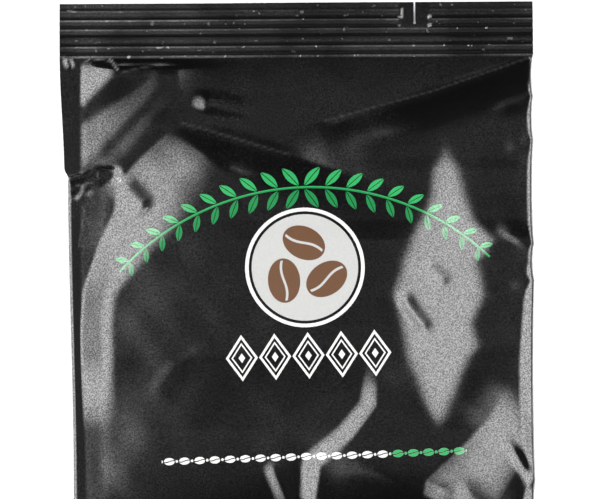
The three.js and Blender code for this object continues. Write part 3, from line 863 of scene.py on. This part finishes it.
def garland_group():
    """Leaves in pairs along an arc, growing away from its middle."""
    tree, given, out = new_group(
        "Printed garland", ("Place", "Radius", "Half length", "Leaf pitch"),
        ("Outer leaves", "Inner leaves"))
    x, y = split_place(tree, given["Place"])
    radius, half, pitch = given["Radius"], given["Half length"], given["Leaf pitch"]
    shrink_at_end, leaf_off_stem, leaf_lean = 0.45, 2.9, math.radians(52)
    leaf_half_width, leaf_taper, rib_half_width, stem_half_width = 1.15, 0.115, 0.1, 0.28
    away = (x * x + y * y).sqrt() - radius
    along = (x.angle_from(y) * radius).abs()
    size = 1.0 - along / half * shrink_at_end
    step = ((along / pitch).fract() - 0.5) * pitch
    u, w = turned(step, away.abs() - size * leaf_off_stem, leaf_lean)
    u, w = u / size, w / size
    leaf = (w.abs() + u * u * leaf_taper).under(leaf_half_width)
    leaf = leaf * (1.0 - w.abs().under(rib_half_width))
    both = leaf.higher_of(away.abs().under(stem_half_width)) * along.under(half, soft=0.1)
    outer = 1.0 - away.under(0.0, soft=0.05)
    feed(tree, out, {"Outer leaves": both * outer, "Inner leaves": both * (1.0 - outer)})
    return tree


def lozenge_group():
    """A row of double-lined lozenges."""
    tree, given, out = new_group(
        "Printed lozenges", ("Place", "Pitch", "Half row", "Half height"), ("Lines",))
    x, y = split_place(tree, given["Place"])
    half_row = given["Half row"]
    cell = (((x + half_row) / given["Pitch"]).fract() - 0.5).abs() * 2.0
    reach = cell + y.abs() / given["Half height"]
    outer_line, outer_half_width, inner_line, inner_half_width, core = 0.88, 0.085, 0.58, 0.05, 0.2
    outer = (reach - outer_line).abs().under(outer_half_width, soft=0.015)
    inner = (reach - inner_line).abs().under(inner_half_width, soft=0.015)
    lines = outer.higher_of(inner).higher_of(reach.under(core, soft=0.02))
    feed(tree, out, {"Lines": lines * x.abs().under(half_row)})
    return tree


def bead_group():
    """A row of small beans with a dot between each two."""
    tree, given, out = new_group("Printed beads", ("Place", "Pitch", "Half row"), ("Beads",))
    x, y = split_place(tree, given["Place"])
    pitch, half_row = given["Pitch"], given["Half row"]
    cell = (((x + half_row) / pitch).fract() - 0.5) * pitch
    length_share, height_share, bead_radius, dot_radius = 0.72, 1.6, 1.15, 0.33
    slot_turns, slot_sway, slot_half_width = 1.6, 0.22, 0.13
    oval = (cell * cell * length_share + y * y * height_share).sqrt().under(bead_radius)
    slot = (y - (cell * slot_turns).sin() * slot_sway).abs().under(slot_half_width)
    from_dot = cell.abs() - pitch * 0.5
    dot = (from_dot * from_dot + y * y).sqrt().under(dot_radius)
    beads = (oval * (1.0 - slot)).higher_of(dot)
    feed(tree, out, {"Beads": beads * x.abs().under(half_row)})
    return tree


def moved(tree, vector, x, y):
    """The print's coordinates counted from another middle."""
    values = {0: vector, 1: (x, y, 0)}
    return add_node(tree, "ShaderNodeVectorMath", values, operation="SUBTRACT").outputs[0]


def noise(tree, vector, scale, detail, roughness=0.5):
    node = add_node(tree, "ShaderNodeTexNoise", {
        "Vector": vector, "Scale": scale, "Detail": detail, "Roughness": roughness})
    return Term(tree, node.outputs["Fac"])


def attribute(tree, title):
    node = add_node(tree, "ShaderNodeAttribute", attribute_name=title)
    return Term(tree, node.outputs["Fac"])


def inked(tree, under, mask, colour):
    values = {"Factor": mask, "A": under, "B": (*colour, 1)}
    return add_node(tree, "ShaderNodeMix", values, data_type="RGBA").outputs["Result"]


# The front print, in millimetres from the middle of the pouch. It sits a little askew.
PRINT_TURN = -math.radians(2.0)
GARLAND_MIDDLE = (2.0, -40.0)
GARLAND_RADIUS = 66.0
GARLAND_HALF_LENGTH = 52.0
LEAF_PITCH = 5.2
MEDAL_MIDDLE = (2.0, 5.8)
DISC_RADIUS = 13.4
RING_RADIUS = 14.6
RING_HALF_WIDTH = 0.45
BEAN_COUNT = 3
BEAN_HALF_LENGTH = 5.6
BEANS_FROM_MIDDLE = 6.2
BEAN_LEAN = math.radians(62)
LOZENGE_MIDDLE = (2.0, -16.4)
LOZENGE_PITCH = 8.4
LOZENGE_COUNT = 5
LOZENGE_HALF_HEIGHT = 6.1
BEAD_MIDDLE = (2.3, -41.9)
BEAD_PITCH = 3.85
BEAD_COUNT = 20
GREEN_BEADS = 5


def print_group(colours):
    """The whole front print: garland, medallion with beans, lozenges and a row of beads."""
    tree, given, out = new_group("Front print", ("Place", "Front"), ("Colour",))
    place = add_node(tree, "ShaderNodeMapping", {
        "Vector": given["Place"], "Rotation": (0, 0, PRINT_TURN), "Scale": (1 / MM, 1 / MM, 0)},
        vector_type="POINT").outputs[0]
    garland = place_group(
        tree, garland_group(), Place=moved(tree, place, *GARLAND_MIDDLE), Radius=GARLAND_RADIUS,
        Half_length=GARLAND_HALF_LENGTH, Leaf_pitch=LEAF_PITCH)
    medal = moved(tree, place, *MEDAL_MIDDLE)
    mx, my = split_place(tree, medal)
    far = (mx * mx + my * my).sqrt()
    lozenges = place_group(
        tree, lozenge_group(), Place=moved(tree, place, *LOZENGE_MIDDLE), Pitch=LOZENGE_PITCH,
        Half_row=0.5 * LOZENGE_COUNT * LOZENGE_PITCH, Half_height=LOZENGE_HALF_HEIGHT)
    row = moved(tree, place, *BEAD_MIDDLE)
    half_row = 0.5 * BEAD_COUNT * BEAD_PITCH
    beads = place_group(
        tree, bead_group(), Place=row, Pitch=BEAD_PITCH, Half_row=half_row)["Beads"]
    bx, _ = split_place(tree, row)
    green_end = 1.0 - bx.under(half_row - GREEN_BEADS * BEAD_PITCH, soft=0.01)
    layers = [
        (garland["Outer leaves"], colours.leaf),
        (garland["Inner leaves"], colours.deep),
        ((far - RING_RADIUS).abs().under(RING_HALF_WIDTH), colours.white),
        (far.under(DISC_RADIUS), colours.grey),
    ]
    bean = bean_group()
    for k in range(BEAN_COUNT):
        angle = math.pi / 2 + 2 * math.pi * k / BEAN_COUNT
        lean = angle + BEAN_LEAN
        parts = place_group(
            tree, bean, Place=medal, Middle_X=BEANS_FROM_MIDDLE * math.cos(angle),
            Middle_Y=BEANS_FROM_MIDDLE * math.sin(angle), Cosine=math.cos(lean),
            Sine=math.sin(lean), Half_length=BEAN_HALF_LENGTH)
        layers += [(parts["Body"], colours.brown), (parts["Groove"], colours.grey)]
    layers += [(lozenges["Lines"], colours.white), (beads, colours.white),
               (beads * green_end, colours.leaf)]
    colour = tree.nodes.new("ShaderNodeRGB").outputs[0]
    colour.default_value = (*colours.film, 1)
    for mask, tone in layers:
        colour = inked(tree, colour, mask * given["Front"], tone)
    feed(tree, out, {"Colour": colour})
    return tree


# Gloss of the film, and of the fine peel that gleams where light strikes it
FILM_IOR = 1.5
FILM_ROUGHNESS = 0.13
PEEL_ROUGHNESS = 0.06
GLEAM_IOR = 1.74
GLEAM_ROUGHNESS = 0.16
PEEL_DEPTH = 0.006 * MM
# Scales of the noises, in turns per metre, and the part of each that is used
PEEL_SCALE = 3000.0
PEEL_RANGE = (0.38, 0.62)
GLINT_SCALE = 2600.0
GLINT_RANGE = (0.56, 0.7)
GLINT_PATCH_SCALE = 28.0
GLINT_PATCH_RANGE = (0.48, 0.62)
HIGHLIGHT_STRETCH_SCALE = 55.0
STRETCH_RANGE = (0.36, 0.62)
SPOT_SCALE = 700.0
SPOT_RANGE = (0.69, 0.74)
# Painted glints and crest highlights are stronger on the left: x in metres, and their shares there
GLINT_FADE = (0.01, -0.05)
GLINT_SHARES = (0.35, 1.0)
HIGHLIGHT_FADE = (-0.01, -0.045)
HIGHLIGHT_SHARES = (0.7, 1.4)
# The most painted glints, faintest and strongest stretches of a crest highlight, its bright spots
GLINT_MOST = 0.05
STRETCH_SHARES = (0.1, 0.45)
SPOT_STRENGTH = 1.6
# Share of the painted highlight that stays in the dips of the peel
HIGHLIGHT_IN_DIPS = 0.4


def grain_group():
    """Fine orange peel of the film, as a height for bump and a share, and painted glint specks."""
    tree, given, out = new_group("Film grain", ("Place",), ("Height", "Share", "Glints"))
    place = given["Place"]
    peel = noise(tree, place, PEEL_SCALE, detail=2.5, roughness=0.6)
    # Pale specks painted as glints of the grain, in patches and more of them on the left
    glint_specks = noise(tree, place, GLINT_SCALE, detail=1.0).over(*GLINT_RANGE)
    patch = noise(tree, place, GLINT_PATCH_SCALE, detail=2.0)
    glint_specks = glint_specks * patch.over(*GLINT_PATCH_RANGE, 0.0, GLINT_MOST)
    x, _ = split_place(tree, place)
    feed(tree, out, {"Height": peel, "Share": peel.over(*PEEL_RANGE),
                     "Glints": glint_specks * x.over(*GLINT_FADE, *GLINT_SHARES)})
    return tree


def crest_highlight_group():
    """Painted highlights on rib crests: pale lines in uneven stretches, with a few bright spots.
    """
    tree, given, out = new_group("Crest highlights", ("Place", "Crest"), ("Highlight",))
    place = given["Place"]
    stretch = noise(tree, place, HIGHLIGHT_STRETCH_SCALE, detail=2.0)
    spots = noise(tree, place, SPOT_SCALE, detail=1.0).over(*SPOT_RANGE)
    x, _ = split_place(tree, place)
    lines = stretch.over(*STRETCH_RANGE, *STRETCH_SHARES) * x.over(*HIGHLIGHT_FADE, *HIGHLIGHT_SHARES)
    crest_highlights = given["Crest"] * (lines + spots * SPOT_STRENGTH)
    feed(tree, out, {"Highlight": crest_highlights.lower_of(1.0)})
    return tree


def film_material(colours):
    material = bpy.data.materials.new("Black satin film")
    material.use_nodes = True
    tree = material.node_tree
    place = tree.nodes.new("ShaderNodeTexCoord").outputs["Object"]
    printed = place_group(tree, print_group(colours), Place=place,
                          Front=attribute(tree, "front_side"))
    grain = place_group(tree, grain_group(), Place=place)
    crest_highlights = place_group(tree, crest_highlight_group(), Place=place, Crest=attribute(tree, "rib_highlight"))
    # Pale painted highlights mixed into the colour: lines on rib crests and the sharpest folds,
    # sheen on the crimp flats, and glint specks
    painted_light = crest_highlights["Highlight"].higher_of(attribute(tree, "fold_highlight"))
    painted_light = painted_light * (grain["Share"] * (1 - HIGHLIGHT_IN_DIPS) + HIGHLIGHT_IN_DIPS)
    painted_light = painted_light.higher_of(grain["Glints"])
    bump = add_node(tree, "ShaderNodeBump", {
        "Strength": 1.0, "Distance": PEEL_DEPTH, "Height": grain["Height"]})
    feed(tree, tree.nodes["Principled BSDF"], {
        "Base Color": inked(tree, printed["Colour"], painted_light, colours.painted_highlight),
        "Roughness": grain["Share"] * PEEL_ROUGHNESS + FILM_ROUGHNESS,
        "IOR": FILM_IOR,
        "Coat Weight": grain["Share"],
        "Coat IOR": GLEAM_IOR,
        "Coat Roughness": GLEAM_ROUGHNESS,
        "Normal": bump.outputs["Normal"],
    })
    return material


# The film is shaded with an edge where two faces meet at more than this angle
SHARP_ANGLE = math.radians(55)


class FILTERPACK_OT_pouch(bpy.types.Operator):
    """Make the sealed pouch with its crimped ends"""
    bl_idname = "filter_pack.pouch"
    bl_label = "Pouch"

    def execute(self, context):
        sizes = context.scene.pack_sizes
        shape = Shape(sizes)
        film = make_film("pouch_film", shape, sizes)
        press_ribs(film, shape, sizes, film_material(context.scene.pack_colours))
        cut_slit(film, shape, sizes)
        film.data.shade_smooth()
        film.data.set_sharp_from_angle(angle=SHARP_ANGLE)
        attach(film, BODY)
        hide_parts(NODE)
        return {"FINISHED"}


# Softboxes: how far each leans from straight overhead, and its distance, size and power
SOFTBOX_LEAN = math.radians(41)
SOFTBOX_DISTANCE = 0.8
SOFTBOX_SIZE = (1.3, 0.9)
SOFTBOX_POWER = 19.0
# Its light fades from its middle to its two ends: from none to full, as shares of its length
SOFTBOX_FADE = (0.5, 0.05)


def add_area(name, place, target, size, power):
    light = bpy.data.lights.new(name, "AREA")
    light.shape = "RECTANGLE"
    light.size, light.size_y = size
    light.energy = power
    light.use_nodes = True
    tree = light.node_tree
    _, y = split_place(tree, tree.nodes.new("ShaderNodeNewGeometry").outputs["Parametric"])
    feed(tree, tree.nodes["Emission"], {"Strength": (y - 0.5).abs().over(*SOFTBOX_FADE)})
    lamp = bpy.data.objects.new(name, light)
    lamp.location = place
    lamp.rotation_euler = (Vector(target) - Vector(place)).to_track_quat("-Z", "Y").to_euler()
    bpy.context.collection.objects.link(lamp)
    return lamp


class FILTERPACK_OT_studio(bpy.types.Operator):
    """Make the floor, lights, world and camera"""
    bl_idname = "filter_pack.studio"
    bl_label = "Studio"

    def execute(self, context):
        scene = context.scene
        scene.view_settings.view_transform = "Standard"
        make_floor()
        make_world(scene)
        for side in (-1, 1):
            place = (side * SOFTBOX_DISTANCE * math.sin(SOFTBOX_LEAN), 0,
                     SOFTBOX_DISTANCE * math.cos(SOFTBOX_LEAN))
            add_area(f"softbox_{'left' if side < 0 else 'right'}", place, (0, 0, 0),
                     SOFTBOX_SIZE, SOFTBOX_POWER)
        make_camera(scene)
        return {"FINISHED"}


# The floor, and its own glow, which grows from the lit part outwards. Reaches are in metres from
# the middle of the pack.
FLOOR_SIZE = 6
FLOOR_GAP = 0.2 * MM
FLOOR_LIT_REACH = 0.2
FLOOR_FAR_REACH = 1.0
FLOOR_NEAR_GLOW = 0.3


def make_floor():
    bpy.ops.mesh.primitive_plane_add(size=FLOOR_SIZE, location=(0, 0, -FLOOR_GAP))
    floor = bpy.context.object
    floor.name = "floor"
    material = bpy.data.materials.new("Pale floor")
    material.use_nodes = True
    tree = material.node_tree
    ray = outputs_of(tree, tree.nodes.new("ShaderNodeLightPath"))
    seen = ray["Is Camera Ray"].higher_of(ray["Is Glossy Ray"])
    seen = seen.higher_of(ray["Is Transmission Ray"])
    place = tree.nodes.new("ShaderNodeTexCoord").outputs["Object"]
    far = add_node(tree, "ShaderNodeVectorMath", {0: place}, operation="LENGTH")
    glow = Term(tree, far.outputs["Value"]).over(
        FLOOR_LIT_REACH, FLOOR_FAR_REACH, FLOOR_NEAR_GLOW, 1.0)
    feed(tree, tree.nodes["Principled BSDF"], {
        "Base Color": (0.85, 0.85, 0.85, 1), "Roughness": 0.9, "Specular IOR Level": 0.1,
        "Emission Color": (1, 1, 1, 1), "Emission Strength": seen * glow})
    floor.data.materials.append(material)


# The dim light from overhead, and how it fades towards both ends of the pack
OVERHEAD_GLOW = 0.16
OVERHEAD_FADE = (0.05, 0.5)


def make_world(scene):
    world = bpy.data.worlds.new("Studio")
    scene.world = world
    world.use_nodes = True
    tree = world.node_tree
    ray = outputs_of(tree, tree.nodes.new("ShaderNodeLightPath"))
    _, y = split_place(tree, tree.nodes.new("ShaderNodeTexCoord").outputs["Generated"])
    strength = y.abs().over(*OVERHEAD_FADE, OVERHEAD_GLOW, 0.0)
    feed(tree, tree.nodes["Background"], {
        "Color": (1, 1, 1, 1), "Strength": strength.higher_of(ray["Is Camera Ray"])})


CAMERA_HEIGHT = 1.0
CAMERA_CLIP_START = 0.01


def make_camera(scene):
    x, y = at(PHOTO_WIDTH_PX / 2, PHOTO_HEIGHT_PX / 2)
    camera = bpy.data.cameras.new("camera")
    camera.sensor_width = 36
    camera.lens = camera.sensor_width * CAMERA_HEIGHT / (PHOTO_WIDTH_PX / PX_PER_MM * MM)
    camera.clip_start = CAMERA_CLIP_START
    eye = bpy.data.objects.new("camera", camera)
    eye.location = (x * MM, y * MM, CAMERA_HEIGHT + Shape.seam_level * MM)
    eye.rotation_euler.z = -PHOTO_ROLL
    bpy.context.collection.objects.link(eye)
    scene.camera = eye


class FILTERPACK_PT_panel(bpy.types.Panel):
    """Lists the steps that build the pack"""
    bl_label = "Filter pack"
    bl_idname = "FILTERPACK_PT_panel"
    bl_space_type = "VIEW_3D"
    bl_region_type = "UI"
    bl_category = "Filter pack"

    def draw(self, context):
        for name in PackSizes.__annotations__:
            self.layout.prop(context.scene.pack_sizes, name)
        for name in PackColours.__annotations__:
            self.layout.prop(context.scene.pack_colours, name)
        for step in STEPS:
            self.layout.operator(step.bl_idname)


STEPS = (FILTERPACK_OT_pouch, FILTERPACK_OT_studio)
CLASSES = (PackSizes, PackColours, *STEPS, FILTERPACK_PT_panel)


def register():
    for one in CLASSES:
        bpy.utils.register_class(one)
    bpy.types.Scene.pack_sizes = PointerProperty(type=PackSizes)
    bpy.types.Scene.pack_colours = PointerProperty(type=PackColours)


def unregister():
    del bpy.types.Scene.pack_colours
    del bpy.types.Scene.pack_sizes
    for one in reversed(CLASSES):
        bpy.utils.unregister_class(one)


def main():
    register()
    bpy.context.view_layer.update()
    bpy.ops.filter_pack.pouch()
    bpy.ops.filter_pack.studio()


if __name__ == "__main__":
    main()
